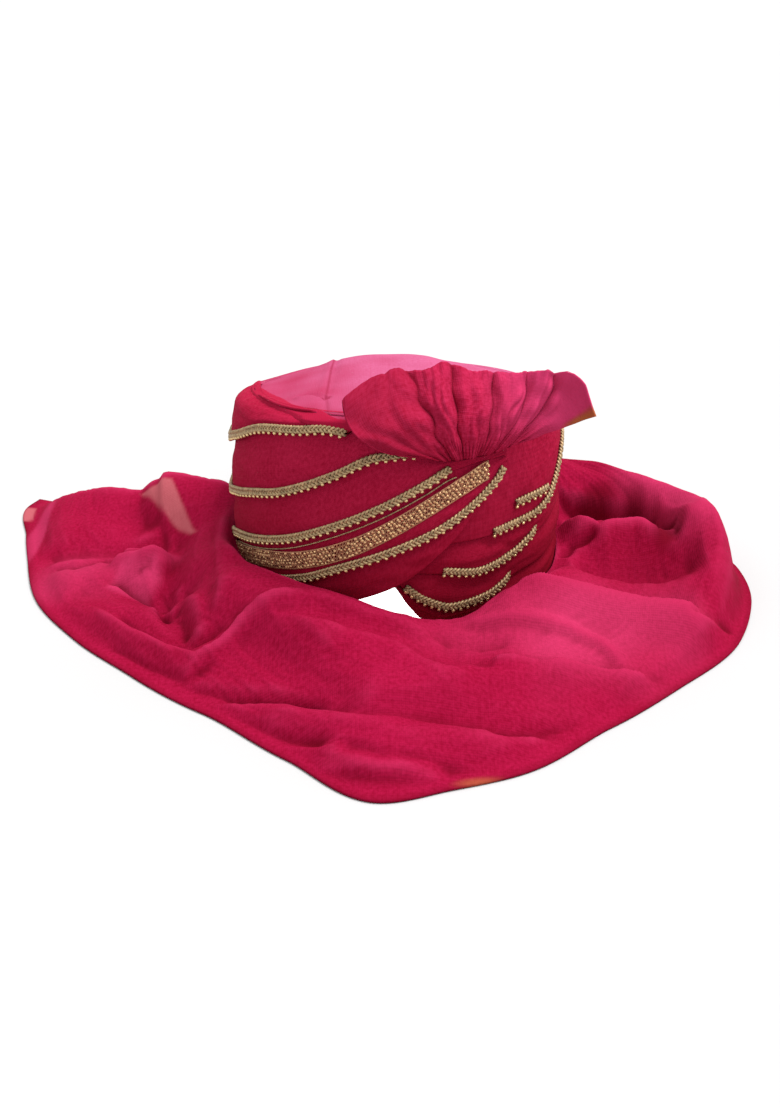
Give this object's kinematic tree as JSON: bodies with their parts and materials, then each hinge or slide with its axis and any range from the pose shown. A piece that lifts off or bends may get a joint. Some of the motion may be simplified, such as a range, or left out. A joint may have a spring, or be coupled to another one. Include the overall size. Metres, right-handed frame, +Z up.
{
  "type": "tied turban",
  "caption": "Tied turban with a wound cloth body, domed crown, gold braid and lace trims, a pleated fan at the front and its loose tail laid round it in a heap.",
  "frame": {"origin": "bottom centre of the whole part, on the surface it lies on", "axes": "+Z up, +X across the wider way to the right, -Y towards the front with the fan"},
  "size_m": [0.556, 0.4332, 0.1899],
  "materials": {
    "crown_cloth": "pale pink cotton voile, matt",
    "winding_cloth": "crimson cotton voile, matt",
    "fan_cloth": "crimson cotton voile, starched into pleats",
    "tail_cloth": "crimson cotton voile, soft and a little sheer",
    "gold_braid": "twisted antique gold thread",
    "sequin_lace": "copper gold thread with sequins"
  },
  "bodies": {
    "root": {"crown": "crown_cloth", "winding_1": "winding_cloth", "winding_2": "winding_cloth", "winding_3": "winding_cloth", "winding_4": "winding_cloth", "winding_5": "winding_cloth", "braid_1": "gold_braid", "braid_2": "gold_braid", "braid_3": "gold_braid", "braid_4": "gold_braid", "braid_branch": "gold_braid", "lace_band": "sequin_lace", "fan": "fan_cloth", "tail": "tail_cloth"}
  },
  "joints": []
}
